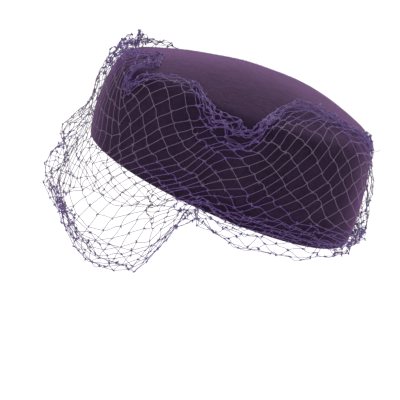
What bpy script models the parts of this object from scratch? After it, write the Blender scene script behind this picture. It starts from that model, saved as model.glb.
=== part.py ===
"""Pillbox hat of blocked felt under a coarse veil net. Metres, +Z up.

The hat stands level. Its front looks along -Y and the wearer's left is +X. The origin is the
centre of the head opening, in the plane of the rim. An angle round the hat starts at the front
and grows towards the wearer's left.
"""
from math import copysign, cos, hypot, pi, radians, sin

import bmesh
import bpy
from mathutils import Vector

# Felt crown: outer sizes
RIM_LENGTH = 0.200
RIM_WIDTH = 0.166
PLAN_EXPONENT = 2.09
FRONT_HEIGHT = 0.061
BACK_HEIGHT = 0.075
SIDE_LEAN = 0.004
BACK_LEAN = 0.0154
WALL_SWELL = 0.0047
SHOULDER_REACH = 0.0064
TIP_DOME = 0.021
FELT_THICKNESS = 0.0025
RIM_ROUNDING = 0.0006

# Felt crown: how finely it is faceted
CROWN_SIDES = 48
WALL_STEPS = 6
SHOULDER_STEPS = 4
TIP_STEPS = 5

# Veil net: how far it laps, stands off and hangs, at most
NET_LAP = 0.040
NET_PUFF = 0.024
NET_DROP = 0.072
NET_SEAT_GAP = 0.0006
NET_BRIDGE = 0.0030
NET_THICKNESS = 0.0013
NET_BAR_WIDTH = 0.0021
NET_COLUMNS = 40
NET_ROWS = 7
NET_BAR_STEPS = 3

# Veil net, front to back. The angle is in degrees from the front, on either side. The lap over
# the shoulder (down the wall where negative) is a share of NET_LAP and differs between the
# wearer's left and right. The stand-off at the shoulder, wall, rim, belly and hem is a share of
# NET_PUFF, and the drop of the hem below the rim a share of NET_DROP.
VEIL_COLUMNS = ("angle", "left_lap", "right_lap", "shoulder", "wall", "rim", "belly", "hem", "drop")
VEIL_TABLE = (
    (0, 0.60, 0.60, 0.22, 0.17, 0.60, 1.00, 0.00, 0.76),
    (12, 0.58, 0.56, 0.20, 0.16, 0.60, 1.00, 0.02, 0.77),
    (24, 0.30, 0.46, 0.16, 0.15, 0.58, 1.00, 0.05, 0.78),
    (38, -0.28, 0.24, 0.05, 0.14, 0.52, 0.92, 0.15, 0.82),
    (54, 0.12, -0.20, 0.10, 0.14, 0.42, 0.78, 0.22, 0.90),
    (68, 0.06, -0.30, 0.08, 0.11, 0.30, 0.52, 0.26, 1.00),
    (78, -0.04, -0.32, 0.06, 0.08, 0.16, 0.30, 0.22, 0.68),
    (84, -0.18, -0.32, 0.06, 0.06, 0.06, 0.12, 0.12, 0.36),
    (88, -0.28, -0.32, 0.08, 0.05, 0.04, 0.05, 0.06, 0.06),
    (92, -0.28, -0.32, 0.24, 0.05, 0.03, 0.08, 0.16, 0.08),
    (104, 0.84, -0.32, 0.22, 0.08, 0.04, 0.18, 0.30, 0.18),
    (125, 0.78, -0.32, 0.12, 0.08, 0.05, 0.20, 0.30, 0.11),
    (150, 0.56, -0.24, 0.08, 0.12, 0.12, 0.22, 0.26, 0.08),
    (168, 0.46, 0.10, 0.05, 0.13, 0.17, 0.22, 0.22, 0.07),
    (180, 0.36, 0.36, 0.03, 0.14, 0.20, 0.22, 0.20, 0.06),
)

# Where the stand-off columns apply, as shares of the way from the top edge to the rim, and
# from the rim to the hem
WALL_SHARE = 0.62
SHOULDER_SHARE = 0.28
BELLY_SHARE = 0.64

# Finishes: base colour, roughness, metallic
FELT_FINISH = ((0.060, 0.034, 0.076), 0.95, 0.0)
NET_FINISH = ((0.150, 0.095, 0.230), 0.60, 0.0)

UP = Vector((0.0, 0.0, 1.0))
ANGLE_STEP = 0.001


def clear_scene():
    """Remove every object that the file opened with."""
    for item in list(bpy.data.objects):
        bpy.data.objects.remove(item, do_unlink=True)


def make_material(name, finish):
    """Principled material with a plain colour."""
    colour, roughness, metallic = finish
    material = bpy.data.materials.new(name)
    material.use_nodes = True
    shader = material.node_tree.nodes["Principled BSDF"]
    shader.inputs["Base Color"].default_value = (*colour, 1.0)
    shader.inputs["Roughness"].default_value = roughness
    shader.inputs["Metallic"].default_value = metallic
    material.diffuse_color = (*colour, 1.0)
    return material


def add_object(name, work_mesh, material):
    """Turn a work mesh into a named, smooth-shaded object."""
    mesh = bpy.data.meshes.new(name)
    work_mesh.to_mesh(mesh)
    work_mesh.free()
    mesh.shade_smooth()
    mesh.materials.append(material)
    item = bpy.data.objects.new(name, mesh)
    bpy.context.scene.collection.objects.link(item)
    return item


def ease(share):
    """Smooth step from 0 to 1."""
    share = min(max(share, 0.0), 1.0)
    return share * share * (3.0 - 2.0 * share)


def smooth_between(keys, values, key):
    """Cubic curve through the values, level at both ends and with no overshoot."""
    count = len(keys)
    slopes = [(values[i + 1] - values[i]) / (keys[i + 1] - keys[i]) for i in range(count - 1)]
    tangents = [0.0] * count
    for i in range(1, count - 1):
        if slopes[i - 1] * slopes[i] > 0.0:
            tangents[i] = 2.0 * slopes[i - 1] * slopes[i] / (slopes[i - 1] + slopes[i])
    i = max(j for j in range(count - 1) if keys[j] <= key or j == 0)
    span = keys[i + 1] - keys[i]
    share = min(max((key - keys[i]) / span, 0.0), 1.0)
    turn = ease(share)
    start_pull = span * tangents[i] * share * (1.0 - share) ** 2
    end_pull = span * tangents[i + 1] * share * share * (share - 1.0)
    return values[i] * (1.0 - turn) + values[i + 1] * turn + start_pull + end_pull


def plan_point(angle, half_width, front, back):
    """Point of a rounded plan outline, level with the rim."""
    across = copysign(abs(sin(angle)) ** (2.0 / PLAN_EXPONENT), sin(angle))
    along = copysign(abs(cos(angle)) ** (2.0 / PLAN_EXPONENT), cos(angle))
    reach = front if along > 0.0 else back
    return Vector((half_width * across, -reach * along, 0.0))


def rim_point(angle):
    """Outer edge of the rim."""
    return plan_point(angle, RIM_WIDTH / 2, RIM_LENGTH / 2, RIM_LENGTH / 2)


def crown_height(y):
    """Height of the shoulder, which climbs from the front to the back."""
    climb = (BACK_HEIGHT - FRONT_HEIGHT) / 2
    return (FRONT_HEIGHT + BACK_HEIGHT) / 2 + climb * y / (RIM_LENGTH / 2)


def corner_point(angle):
    """Corner that the shoulder rounds off, where the wall's line meets the tip's."""
    half_length = RIM_LENGTH / 2
    corner = plan_point(angle, RIM_WIDTH / 2 - SIDE_LEAN, half_length, half_length - BACK_LEAN)
    corner.z = crown_height(corner.y)
    return corner


def wall_point(angle, depth):
    """Outer face of the wall, at a depth below the corner."""
    corner = corner_point(angle)
    share = 1.0 - depth / corner.z
    point = rim_point(angle).lerp(corner, share)
    swell = 1.0 + 4.0 * WALL_SWELL / (RIM_LENGTH / 2) * share * (1.0 - share)
    return Vector((point.x * swell, point.y * swell, corner.z * share))


def tip_point(angle, inset):
    """Outer face of the domed tip, at an inset from the corner."""
    corner = corner_point(angle)
    share = 1.0 - inset / hypot(corner.x, corner.y)
    height = crown_height(corner.y * share) + TIP_DOME * (1.0 - share * share)
    return Vector((corner.x * share, corner.y * share, height))


def crown_point(angle, lap):
    """Outer felt face, at a lap over the shoulder from its corner, or down the wall if negative."""
    if lap <= -SHOULDER_REACH:
        return wall_point(angle, -lap)
    if lap >= SHOULDER_REACH:
        return tip_point(angle, lap)
    share = (lap + SHOULDER_REACH) / (2.0 * SHOULDER_REACH)
    low = wall_point(angle, SHOULDER_REACH)
    high = tip_point(angle, SHOULDER_REACH)
    corner = corner_point(angle)
    return low.lerp(corner, share).lerp(corner.lerp(high, share), share)


def crown_laps(angle):
    """Laps of the crown's rings, from the rim up to the last ring round the tip's centre."""
    corner = corner_point(angle)
    wall_length = corner.z - SHOULDER_REACH
    tip_length = hypot(corner.x, corner.y) - SHOULDER_REACH
    laps = [-corner.z + wall_length * step / WALL_STEPS for step in range(WALL_STEPS)]
    for step in range(SHOULDER_STEPS):
        laps.append(SHOULDER_REACH * (2.0 * step / SHOULDER_STEPS - 1.0))
    laps += [SHOULDER_REACH + tip_length * step / TIP_STEPS for step in range(TIP_STEPS)]
    return laps


def make_felt_crown():
    """One blocked felt wall with a domed tip, hollow and open below."""
    work = bmesh.new()
    angles = [2.0 * pi * side / CROWN_SIDES for side in range(CROWN_SIDES)]
    columns = []
    for angle in angles:
        columns.append([work.verts.new(crown_point(angle, lap)) for lap in crown_laps(angle)])
    centre = work.verts.new((0.0, 0.0, crown_height(0.0) + TIP_DOME))
    for side, column in enumerate(columns):
        after = columns[(side + 1) % CROWN_SIDES]
        for ring in range(len(column) - 1):
            work.faces.new((column[ring], after[ring], after[ring + 1], column[ring + 1]))
        work.faces.new((column[-1], after[-1], centre))
    crown = add_object("felt_crown", work, make_material("felt", FELT_FINISH))
    wall = crown.modifiers.new("wall", "SOLIDIFY")
    wall.thickness = FELT_THICKNESS
    wall.offset = -1.0
    wall.use_even_offset = True
    edge = crown.modifiers.new("rim edge", "BEVEL")
    edge.width = RIM_ROUNDING
    edge.segments = 1
    edge.limit_method = "ANGLE"
    edge.angle_limit = radians(60.0)
    return crown


def veil_value(name, angle):
    """Value of one column of the veil's table, at an angle in degrees."""
    column = VEIL_COLUMNS.index(name)
    from_front = abs((angle + 180.0) % 360.0 - 180.0)
    keys = [row[0] for row in VEIL_TABLE]
    return smooth_between(keys, [row[column] for row in VEIL_TABLE], from_front)


def outward(angle):
    """Level direction that faces out of the rim's outline."""
    along = rim_point(angle + ANGLE_STEP) - rim_point(angle - ANGLE_STEP)
    return along.cross(UP).normalized()


def veil_seat(lap):
    """Least distance from the felt to the middle of the net, which bridges the shoulder."""
    off_corner = min(abs(lap) / (2.0 * SHOULDER_REACH), 1.0)
    return NET_SEAT_GAP + NET_THICKNESS / 2 + NET_BRIDGE * (1.0 - off_corner * off_corner)


def veil_point(angle, share):
    """Middle of the net, at a share of the way from its top edge to its hem."""
    degrees_round = angle * 180.0 / pi
    value = {name: veil_value(name, degrees_round) for name in VEIL_COLUMNS[1:]}
    on_left = (degrees_round + 180.0) % 360.0 >= 180.0
    top_lap = value["left_lap" if on_left else "right_lap"] * NET_LAP
    felt_length = top_lap + corner_point(angle).z
    drop = value["drop"] * NET_DROP
    rim_share = felt_length / (felt_length + drop)
    places = (0.0, SHOULDER_SHARE * rim_share, WALL_SHARE * rim_share, rim_share,
              rim_share + BELLY_SHARE * (1.0 - rim_share), 1.0)
    puffs = (0.0, value["shoulder"], value["wall"], value["rim"], value["belly"], value["hem"])
    way = share * (felt_length + drop)
    lap = top_lap - way
    lift = veil_seat(lap) + NET_PUFF * smooth_between(places, puffs, share)
    if way > felt_length:
        return rim_point(angle) - UP * (way - felt_length) + outward(angle) * lift
    turn = ease((lap + 2.0 * SHOULDER_REACH) / (4.0 * SHOULDER_REACH)) * pi / 2
    return crown_point(angle, lap) + (outward(angle) * cos(turn) + UP * sin(turn)) * lift


def half_cell():
    """Half the width and half the height of one diamond gap, halfway round the veil."""
    width = (RIM_LENGTH + RIM_WIDTH) / 2 * pi / NET_COLUMNS
    height = (crown_height(0.0) + NET_DROP / 2) / NET_ROWS
    return width, height


def make_veil_net():
    """Diamond net: each gap is a diamond of the grid, with half a bar round it."""
    work = bmesh.new()
    points = {}
    width, height = half_cell()
    opening = 1.0 - NET_BAR_WIDTH / 2 * hypot(width, height) / (width * height)

    def net_vertex(column, row):
        key = (round(column % NET_COLUMNS, 5) % NET_COLUMNS, round(row, 5))
        if key not in points:
            place = veil_point(2.0 * pi * column / NET_COLUMNS, row / NET_ROWS)
            points[key] = work.verts.new(place)
        return points[key]

    def along_side(start, end, centre, size):
        side = []
        for step in range(NET_BAR_STEPS + 1):
            share = step / NET_BAR_STEPS
            corner = [start[axis] + (end[axis] - start[axis]) * share for axis in (0, 1)]
            place = [centre[axis] + (corner[axis] - centre[axis]) * size for axis in (0, 1)]
            side.append(net_vertex(*place))
        return side

    for row in range(1, NET_ROWS):
        for column in range(row % 2, NET_COLUMNS, 2):
            centre = (column, row)
            corners = ((column - 1, row), (column, row + 1), (column + 1, row), (column, row - 1))
            for number, start in enumerate(corners):
                end = corners[(number + 1) % 4]
                outer = along_side(start, end, centre, 1.0)
                inner = along_side(start, end, centre, opening)
                for step in range(NET_BAR_STEPS):
                    work.faces.new((outer[step], outer[step + 1], inner[step + 1], inner[step]))
    net = add_object("veil_net", work, make_material("veil netting", NET_FINISH))
    thickness = net.modifiers.new("thread thickness", "SOLIDIFY")
    thickness.thickness = NET_THICKNESS
    thickness.offset = 0.0
    thickness.use_even_offset = False
    return net


def main():
    clear_scene()
    make_felt_crown()
    make_veil_net()


main()
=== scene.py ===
# %% [markdown]
# # A felt pillbox hat with a coarse veil net
#
# This lesson dresses the plain solids of a pillbox hat: a crown blocked from one piece of wool
# felt, and a band of coarse knotted netting that is tacked to it and hangs over the face. The
# solids arrive at their real size, in metres, with the hat level, its front towards -Y, the
# wearer's left towards +X, and the origin in the middle of the head opening. Each step says what
# the piece is on the real hat, how it could be made in Blender, and why this way was chosen.

from math import cos, pi, radians, sin

import bmesh
import bpy
import numpy as np
from mathutils import Matrix, Vector
from mathutils.bvhtree import BVHTree


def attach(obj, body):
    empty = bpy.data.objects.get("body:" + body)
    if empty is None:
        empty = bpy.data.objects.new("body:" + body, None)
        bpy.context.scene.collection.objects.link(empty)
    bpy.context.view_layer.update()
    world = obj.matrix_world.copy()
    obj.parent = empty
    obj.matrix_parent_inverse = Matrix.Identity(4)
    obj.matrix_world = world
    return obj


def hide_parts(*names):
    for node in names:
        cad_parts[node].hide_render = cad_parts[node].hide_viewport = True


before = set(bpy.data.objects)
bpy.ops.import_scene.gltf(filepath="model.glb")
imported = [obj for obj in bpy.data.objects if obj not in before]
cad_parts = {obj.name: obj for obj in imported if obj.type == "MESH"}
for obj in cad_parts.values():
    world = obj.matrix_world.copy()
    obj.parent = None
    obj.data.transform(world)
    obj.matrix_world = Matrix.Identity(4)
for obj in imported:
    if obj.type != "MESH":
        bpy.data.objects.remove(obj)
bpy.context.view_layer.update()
MM = 0.001


def new_object(name, data):
    """Object for a mesh, a light or a camera, linked into the scene."""
    item = bpy.data.objects.new(name, data)
    bpy.context.scene.collection.objects.link(item)
    return item


# %% [markdown]
# ## The camera
#
# The hat is worn tipped back, and is seen from the wearer's left, a little above the rim. The
# hat itself stays level here, so the camera carries the tilt: it rolls about its own line of
# sight. Its place is worked out as an angle round the hat and a distance, and it then aims at
# the middle of the picture, which lies in front of and below the middle of the hat.

# %% Place the camera
VIEW_DISTANCE = 1.30
VIEW_AZIMUTH = radians(1.46)
VIEW_ELEVATION = radians(13.18)
VIEW_ROLL = radians(23.88)
VIEW_CENTRE = Vector((0.0, 0.0, 0.040))
PICTURE_SIZE = 400
PIXEL_ON_HAT = 0.7123 * MM
CENTRE_PIXEL = (241.46, 134.38)
SENSOR_WIDTH = 36.0


def place_camera():
    """Camera beside the hat, rolled so that the hat tips back in the picture."""
    towards = Vector((cos(VIEW_AZIMUTH) * cos(VIEW_ELEVATION),
                      sin(VIEW_AZIMUTH) * cos(VIEW_ELEVATION), sin(VIEW_ELEVATION)))
    level = Vector((-sin(VIEW_AZIMUTH), cos(VIEW_AZIMUTH), 0.0))
    upright = towards.cross(level)
    across = level * cos(VIEW_ROLL) + upright * sin(VIEW_ROLL)
    up = upright * cos(VIEW_ROLL) - level * sin(VIEW_ROLL)
    place = VIEW_CENTRE + towards * VIEW_DISTANCE
    right_by = (PICTURE_SIZE / 2 - CENTRE_PIXEL[0]) * PIXEL_ON_HAT
    down_by = (PICTURE_SIZE / 2 - CENTRE_PIXEL[1]) * PIXEL_ON_HAT
    back = (place - (VIEW_CENTRE + across * right_by - up * down_by)).normalized()
    across = up.cross(back).normalized()
    up = back.cross(across)
    camera_data = bpy.data.cameras.new("portrait camera")
    camera_data.sensor_width = SENSOR_WIDTH
    camera_data.lens = SENSOR_WIDTH * VIEW_DISTANCE / (PICTURE_SIZE * PIXEL_ON_HAT)
    camera = new_object("portrait_camera", camera_data)
    turn = Matrix((across, up, back)).transposed().to_4x4()
    camera.matrix_world = Matrix.Translation(place) @ turn
    bpy.context.scene.camera = camera
    return camera


camera = place_camera()
print("camera at", [round(v, 3) for v in camera.matrix_world.translation], "lens", round(camera.data.lens))

# %% [markdown]
# ## Shader maths in plain Python
#
# A procedural finish is a sum of patterns: grain, blotches, wear. Node by node that is long and
# hard to read. One small class wraps an output socket, so that `grain * 0.2 + streaks` adds the
# Math nodes by itself, and one method adds any other node. The same class also builds the
# Geometry Nodes trees further down, because their sockets link in the same way.

# %% A wire that knows arithmetic
class Wire:
    """One output socket. Arithmetic on it adds Math nodes to its tree."""

    def __init__(self, tree, socket=None):
        self.tree = tree
        self.socket = socket

    def node(self, kind, settings=None, output=0, **inputs):
        """Add a node: settings first, then the values or wires of its named inputs."""
        made = self.tree.nodes.new(kind)
        for name, value in (settings or {}).items():
            setattr(made, name, value)
        for name, value in inputs.items():
            key = int(name[1:]) if name[1:].isdigit() else name.replace("_", " ")
            socket = made.inputs[key]
            if isinstance(value, Wire):
                self.tree.links.new(value.socket, socket)
            else:
                socket.default_value = value
        return Wire(self.tree, made.outputs[output])

    def math(self, operation, other):
        return self.node("ShaderNodeMath", {"operation": operation}, i0=self, i1=other)

    def __add__(self, other):
        return self.math("ADD", other)

    def __mul__(self, other):
        return self.math("MULTIPLY", other)

    def between(self, low, high):
        """0 below low, 1 above high, smooth in between."""
        return self.node("ShaderNodeMapRange", {"interpolation_type": "SMOOTHSTEP"}, Value=self,
                         From_Min=low, From_Max=high)

    def mix(self, first, second):
        """Colour that goes from first to second as this wire goes from 0 to 1."""
        return self.node("ShaderNodeMix", {"data_type": "RGBA"}, output=2, i0=self, i6=first, i7=second)


def new_finish(name, roughness, sheen=0.0, sheen_roughness=0.5, sheen_tint=(1.0, 1.0, 1.0), gloss=0.5):
    """Material with an empty Principled shader. Returns it, its shader and a wire to build from."""
    material = bpy.data.materials.new(name)
    material.use_nodes = True
    shader = material.node_tree.nodes["Principled BSDF"]
    shader.inputs["Roughness"].default_value = roughness
    shader.inputs["Sheen Weight"].default_value = sheen
    shader.inputs["Sheen Roughness"].default_value = sheen_roughness
    shader.inputs["Sheen Tint"].default_value = (*sheen_tint, 1.0)
    shader.inputs["Specular IOR Level"].default_value = gloss
    return material, shader, Wire(material.node_tree)


def feed(wire, shader, socket_name):
    """Link a wire to one input of the shader."""
    wire.tree.links.new(wire.socket, shader.inputs[socket_name])

# %% [markdown]
# ### Growing many small parts
#
# Fibres, threads and knots are thousands of copies of one small thing. A node tree sets them on a
# base mesh, with its sizes as named inputs, and the result is then kept as a plain mesh. Placing
# each copy by hand would be slow to change, and one merged mesh built in loops slow to run.

# %% Growing many small parts
FULL_TURN = 6.283
THREE_WAYS = [2.0 * pi * k / 3 for k in range(3)]


def mesh_object(name, points, faces=(), edges=(), material=None):
    """Smooth-shaded object from points in metres."""
    mesh = bpy.data.meshes.new(name)
    mesh.from_pydata([tuple(p) for p in points], list(edges), list(faces))
    if len(faces):
        mesh.shade_smooth()
    if material:
        mesh.materials.append(material)
    return new_object(name, mesh)


def object_from(work, name):
    """Object with the mesh that was worked on."""
    mesh = bpy.data.meshes.new(name)
    work.to_mesh(mesh)
    work.free()
    return new_object(name, mesh)


def new_tree(name, wanted):
    """Geometry node tree with named inputs. Returns it, a wire from its geometry and its inputs."""
    tree = bpy.data.node_groups.new(name, "GeometryNodeTree")
    tree.interface.new_socket("Geometry", in_out="INPUT", socket_type="NodeSocketGeometry")
    for label, kind in wanted.items():
        tree.interface.new_socket(label, in_out="INPUT", socket_type=kind)
    tree.interface.new_socket("Geometry", in_out="OUTPUT", socket_type="NodeSocketGeometry")
    entry = tree.nodes.new("NodeGroupInput")
    wires = {socket.name: Wire(tree, socket) for socket in entry.outputs if socket.name}
    return tree, wires


def random_between(wire, low, high, seed):
    """A random number for every point."""
    return wire.node("FunctionNodeRandomValue", {"data_type": "FLOAT"}, output=1, i2=low, i3=high,
                     Seed=seed)


def shape_of(wire, item):
    """Wire from the geometry of an object."""
    info = wire.node("GeometryNodeObjectInfo", Object=item)
    return Wire(wire.tree, info.socket.node.outputs["Geometry"])


def close_tree(tree, geometry, material):
    """Make the instances real, give them their material and end the tree."""
    real = geometry.node("GeometryNodeRealizeInstances", Geometry=geometry)
    dressed = real.node("GeometryNodeSetMaterial", Geometry=real, Material=material)
    leave = tree.nodes.new("NodeGroupOutput")
    tree.links.new(dressed.socket, leave.inputs["Geometry"])
    return tree


def grow(name, base, tree, values):
    """Run a node tree on a base mesh and keep the result as a plain mesh object."""
    modifier = base.modifiers.new("growth", "NODES")
    modifier.node_group = tree
    for item in tree.interface.items_tree:
        if item.in_out == "INPUT" and item.name in values:
            modifier[item.identifier] = values[item.name]
    graph = bpy.context.evaluated_depsgraph_get()
    mesh = bpy.data.meshes.new_from_object(base.evaluated_get(graph))
    mesh.name = name
    bpy.data.objects.remove(base, do_unlink=True)
    mesh.shade_smooth()
    return new_object(name, mesh)

# %% [markdown]
# ## The studio
#
# The light comes from a pale room: a wide soft light overhead and behind the hat, a weak one
# near the camera, and a pale floor. The hat is held up as a head holds it, because its veil
# hangs below its rim, so the floor lies well below it and carries only a faint shadow.

# %% Floor and lights
FLOOR_HEIGHT = -0.30
FLOOR_SIZE = 24.0
FLOOR_COLOUR = (0.10, 0.10, 0.10, 1.0)
FLOOR_GLOW = 0.93
ROOM_COLOUR = (1.0, 1.0, 1.0, 1.0)
ROOM_STRENGTH = 0.55
LIGHT_TARGET = Vector((0.0, 0.0, 0.03))


def make_floor():
    """Pale floor, wide enough to fill the picture."""
    work = bmesh.new()
    bmesh.ops.create_grid(work, x_segments=2, y_segments=2, size=FLOOR_SIZE / 2)
    bmesh.ops.translate(work, verts=work.verts, vec=(0.0, 0.0, FLOOR_HEIGHT))
    floor = object_from(work, "studio_floor")
    material, shader, _ = new_finish("pale floor", 0.9)
    shader.inputs["Base Color"].default_value = FLOOR_COLOUR
    shader.inputs["Emission Color"].default_value = (1.0, 1.0, 1.0, 1.0)
    shader.inputs["Emission Strength"].default_value = FLOOR_GLOW
    floor.data.materials.append(material)


def add_soft_light(name, place, size, power):
    """Square soft light that faces the hat."""
    data = bpy.data.lights.new(name, "AREA")
    data.shape = "SQUARE"
    data.size = size
    data.energy = power
    light = new_object(name, data)
    light.location = place
    light.rotation_euler = (LIGHT_TARGET - Vector(place)).to_track_quat("-Z", "Y").to_euler()


def light_room():
    """Even pale surroundings."""
    world = bpy.data.worlds.new("pale room")
    world.use_nodes = True
    background = world.node_tree.nodes["Background"]
    background.inputs["Color"].default_value = ROOM_COLOUR
    background.inputs["Strength"].default_value = ROOM_STRENGTH
    bpy.context.scene.world = world


make_floor()
light_room()
add_soft_light("overhead_light", (-1.7, 0.1, 1.7), 1.6, 62.0)
add_soft_light("camera_light", (1.8, -0.9, 0.9), 1.0, 4.0)
bpy.context.scene.view_settings.view_transform = "Standard"
print("floor and lights are in place")

# %% [markdown]
# ## The crown's shape as a formula
#
# A blocked crown is felt pulled over a wooden block, so its shape is smooth and follows a rule:
# an outline in plan, a wall that swells a little, a rounded shoulder and a domed tip. The same
# rule serves twice below, for the felt itself and for the places where the net lies on it. Its
# overall sizes are measured on the solids, and the rest are the crown's own.

# %% Sizes of the crown, from the solids
PLAN_EXPONENT = 2.09
SIDE_LEAN = 4.0 * MM
BACK_LEAN = 15.4 * MM
WALL_SWELL = 4.7 * MM
SHOULDER_REACH = 6.4 * MM
TIP_DOME = 21.0 * MM
FRONT_HEIGHT = 61.0 * MM
BACK_HEIGHT = 75.0 * MM
FELT_THICKNESS = 2.5 * MM


def rim_half_sizes():
    """Half the rim's length and width, measured on the crown's lowest points."""
    points = np.array([v.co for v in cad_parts["felt_crown"].data.vertices])
    lowest = points[points[:, 2] < points[:, 2].min() + 1.0 * MM]
    return float(lowest[:, 1].max()), float(lowest[:, 0].max())


HALF_LENGTH, HALF_WIDTH = rim_half_sizes()
print("rim:", round(2 * HALF_LENGTH / MM, 1), "by", round(2 * HALF_WIDTH / MM, 1), "mm")

# %% [markdown]
# ### From formula to places
#
# A place on the crown is named by its angle round the hat and by its lap, the length over the
# shoulder's corner. Wall and tip each have their own rule, and a curve between them rounds the
# shoulder. This way one function gives any place on the felt, also between the rings.

# %% The crown's surface
def plan_outline(angle, half_width, front, back):
    """Rounded outline in plan. Angles start at the front and grow towards the wearer's left."""
    power = 2.0 / PLAN_EXPONENT
    across = np.sign(np.sin(angle)) * np.abs(np.sin(angle)) ** power
    along = np.sign(np.cos(angle)) * np.abs(np.cos(angle)) ** power
    return half_width * across, -np.where(along > 0.0, front, back) * along


def crown_height(y):
    """Height of the shoulder, which climbs from the front to the back."""
    return (FRONT_HEIGHT + BACK_HEIGHT) / 2 + (BACK_HEIGHT - FRONT_HEIGHT) / 2 * y / HALF_LENGTH


def corner_points(angle):
    """Corner that the shoulder rounds off."""
    x, y = plan_outline(angle, HALF_WIDTH - SIDE_LEAN, HALF_LENGTH, HALF_LENGTH - BACK_LEAN)
    return np.stack([x, y, crown_height(y)], -1)


def rim_points(angle):
    """Outer edge of the rim."""
    x, y = plan_outline(angle, HALF_WIDTH, HALF_LENGTH, HALF_LENGTH)
    return np.stack([x, y, np.zeros_like(x)], -1)


def wall_points(angle, depth):
    """Outer face of the wall, at a depth below the corner."""
    corner = corner_points(angle)
    share = (1.0 - depth / corner[..., 2])[..., None]
    swell = 1.0 + 4.0 * WALL_SWELL / HALF_LENGTH * share * (1.0 - share)
    points = rim_points(angle) * (1.0 - share) + corner * share
    points[..., :2] *= swell
    return points


def tip_points(angle, inset):
    """Outer face of the domed tip, at an inset from the corner."""
    corner = corner_points(angle)
    share = 1.0 - inset / np.hypot(corner[..., 0], corner[..., 1])
    height = crown_height(corner[..., 1] * share) + TIP_DOME * (1.0 - share * share)
    return np.stack([corner[..., 0] * share, corner[..., 1] * share, height], -1)


def crown_points(angle, lap):
    """Outer felt face, at a lap over the shoulder, or down the wall where the lap is negative."""
    angle, lap = np.broadcast_arrays(np.asarray(angle, float), np.asarray(lap, float))
    share = np.clip((lap + SHOULDER_REACH) / (2.0 * SHOULDER_REACH), 0.0, 1.0)[..., None]
    low = wall_points(angle, np.maximum(-lap, SHOULDER_REACH))
    high = tip_points(angle, np.maximum(lap, SHOULDER_REACH))
    corner = corner_points(angle)
    rounded = low * (1.0 - share) ** 2 + corner * 2.0 * share * (1.0 - share) + high * share ** 2
    on_wall = (lap <= -SHOULDER_REACH)[..., None]
    on_tip = (lap >= SHOULDER_REACH)[..., None]
    return np.where(on_wall, low, np.where(on_tip, high, rounded))


def outward(angle):
    """Level direction that faces out of the rim's outline."""
    step = 0.001
    along = rim_points(angle + step) - rim_points(angle - step)
    facing = np.stack([along[..., 1], -along[..., 0], np.zeros_like(along[..., 0])], -1)
    return facing / np.linalg.norm(facing, axis=-1, keepdims=True)


print("shoulder at the back, mm:", [round(float(v) / MM, 1) for v in corner_points(np.array(pi))])

# %% [markdown]
# ## The felt crown
#
# Wool felt has no weave: it is a wall of matted fibres, thick and slightly uneven, with a soft
# nap. It could be sculpted, or made from the solid by subdividing it. A grid over the crown's
# formula is better, because its rings follow the wall, the shoulder and the tip, and because
# shallow dents from the blocking can be added as a smooth wave before the wall gets its
# thickness. Solidify then makes the inner face, and Bevel softens the cut edge.

# %% Felt wall
FELT_SIDES = 168
WALL_RINGS = 26
SHOULDER_RINGS = 9
TIP_RINGS = 26
DENT_DEPTH = 0.45 * MM
DENT_WAVES = 9
DENT_LENGTHS = (35.0 * MM, 90.0 * MM)
DENTS_START = 10.0 * MM
CROWN_MIDDLE = np.array([0.0, 0.0, 30.0 * MM])
EDGE_ROUNDING = 0.9 * MM
FELT_SEED = 11


def smooth_waves(points, depth, shortest, longest, seed, count):
    """Sum of a few random sine waves through space, as deep as depth at most."""
    chance = np.random.default_rng(seed)
    total = np.zeros(points.shape[:-1])
    for _ in range(count):
        direction = chance.normal(size=3)
        direction /= np.linalg.norm(direction)
        length = chance.uniform(shortest, longest)
        total += np.sin(points @ direction * (2.0 * pi / length) + chance.uniform(0.0, 2.0 * pi))
    return total * depth / count ** 0.5


def crown_laps():
    """Laps of the felt's rings as functions of the angle, from the rim to the tip's centre."""
    angles = 2.0 * pi * np.arange(FELT_SIDES) / FELT_SIDES
    corner = corner_points(angles)
    low = -corner[:, 2]
    high = np.hypot(corner[:, 0], corner[:, 1])
    wall = [low + (-SHOULDER_REACH - low) * k / WALL_RINGS for k in range(WALL_RINGS)]
    shoulder = [np.full(FELT_SIDES, SHOULDER_REACH * (2.0 * k / SHOULDER_RINGS - 1.0))
                for k in range(SHOULDER_RINGS)]
    tip = [SHOULDER_REACH + (high - SHOULDER_REACH) * k / TIP_RINGS for k in range(TIP_RINGS)]
    return angles, np.array(wall + shoulder + tip)


def make_felt(material):
    """Blocked felt wall, hollow and open below."""
    angles, laps = crown_laps()
    rings = crown_points(angles[None, :], laps)
    centre = np.array([[0.0, 0.0, float(crown_height(0.0)) + TIP_DOME]])
    points = np.concatenate([rings.reshape(-1, 3), centre])
    rise = np.clip(points[:, 2] / DENTS_START, 0.0, 1.0)
    dents = smooth_waves(points, DENT_DEPTH, *DENT_LENGTHS, FELT_SEED, DENT_WAVES)
    facing = points - CROWN_MIDDLE
    facing /= np.linalg.norm(facing, axis=1, keepdims=True)
    points = points + facing * (dents * rise)[:, None]
    faces = []
    for ring in range(len(laps) - 1):
        for side in range(FELT_SIDES):
            after = (side + 1) % FELT_SIDES
            low, high = ring * FELT_SIDES, (ring + 1) * FELT_SIDES
            faces.append((low + side, low + after, high + after, high + side))
    last = (len(laps) - 1) * FELT_SIDES
    for side in range(FELT_SIDES):
        faces.append((last + side, last + (side + 1) % FELT_SIDES, len(points) - 1))
    felt = mesh_object("blocked_felt", points, faces, material=material)
    wall = felt.modifiers.new("felt thickness", "SOLIDIFY")
    wall.thickness = FELT_THICKNESS
    wall.offset = -1.0
    edge = felt.modifiers.new("cut edge", "BEVEL")
    edge.width = EDGE_ROUNDING
    edge.segments = 3
    edge.limit_method = "ANGLE"
    edge.angle_limit = radians(60.0)
    return felt, points, faces

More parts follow.
